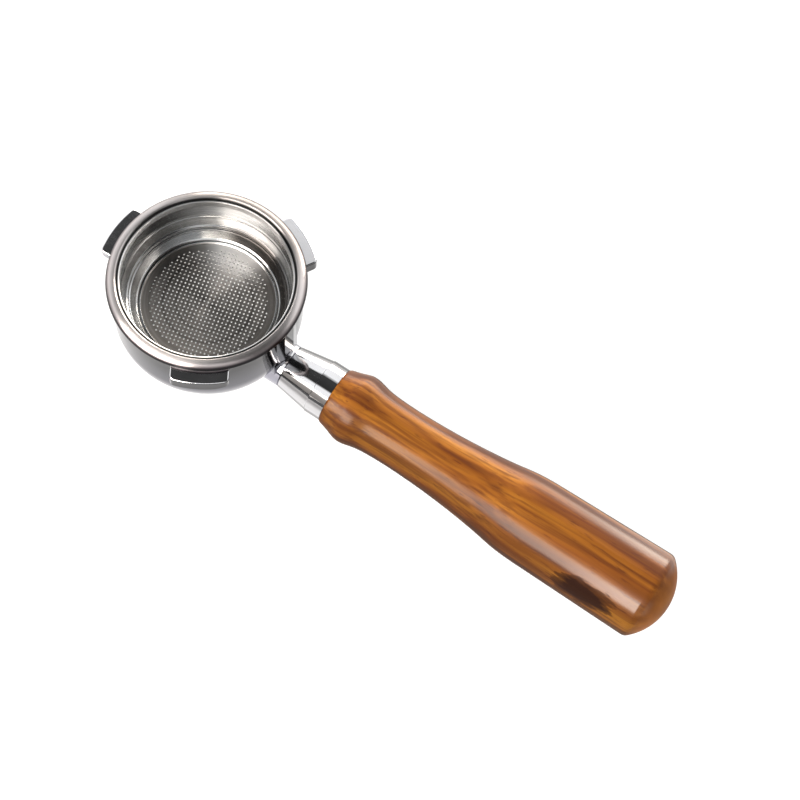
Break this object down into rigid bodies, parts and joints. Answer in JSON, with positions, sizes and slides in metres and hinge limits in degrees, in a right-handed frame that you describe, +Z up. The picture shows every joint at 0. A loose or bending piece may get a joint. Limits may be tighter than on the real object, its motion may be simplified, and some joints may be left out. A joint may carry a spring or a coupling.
{
  "type": "portafilter",
  "caption": "Bottomless espresso portafilter: plated bowl with bayonet lugs, lift-out perforated basket held by a wire spring, and a turned wooden handle.",
  "frame": {"origin": "centre of the round outlet in the flat base of the bowl, on the bowl's axis", "axes": "+Z up the bowl's axis towards the mouth, +X towards the handle"},
  "size_m": [0.1977, 0.0644, 0.0531],
  "materials": {
    "plated_casting": "polished chrome plate on a brass casting",
    "plated_neck": "polished chrome plate on turned brass",
    "plated_collar": "polished chrome plate on a turned ring",
    "plain_steel": "plain zinc-plated steel",
    "insert_brass": "plain turned brass",
    "handle_wood": "oiled and polished hardwood with dark figure",
    "spring_wire": "drawn stainless spring wire",
    "basket_steel": "spun stainless sheet, bright rim and finely brushed floor"
  },
  "bodies": {
    "holder": {"holder_body": "plated_casting", "neck_stem": "plated_neck", "ferrule": "plated_collar", "spring_washer": "plain_steel", "handle_stud": "plain_steel", "threaded_insert": "insert_brass", "handle_grip": "handle_wood"},
    "spring": {"retaining_spring": "spring_wire"},
    "basket": {"filter_basket": "basket_steel"}
  },
  "joints": [
    {"name": "basket_turn", "type": "hinge", "parent": "holder", "child": "spring", "pos_m": [0, 0, 0.0275], "axis": [0, 0, 1], "continuous": true},
    {"name": "basket_lift", "type": "slide", "parent": "spring", "child": "basket", "axis": [0, 0, 1], "range_m": [0, 0.03]}
  ]
}
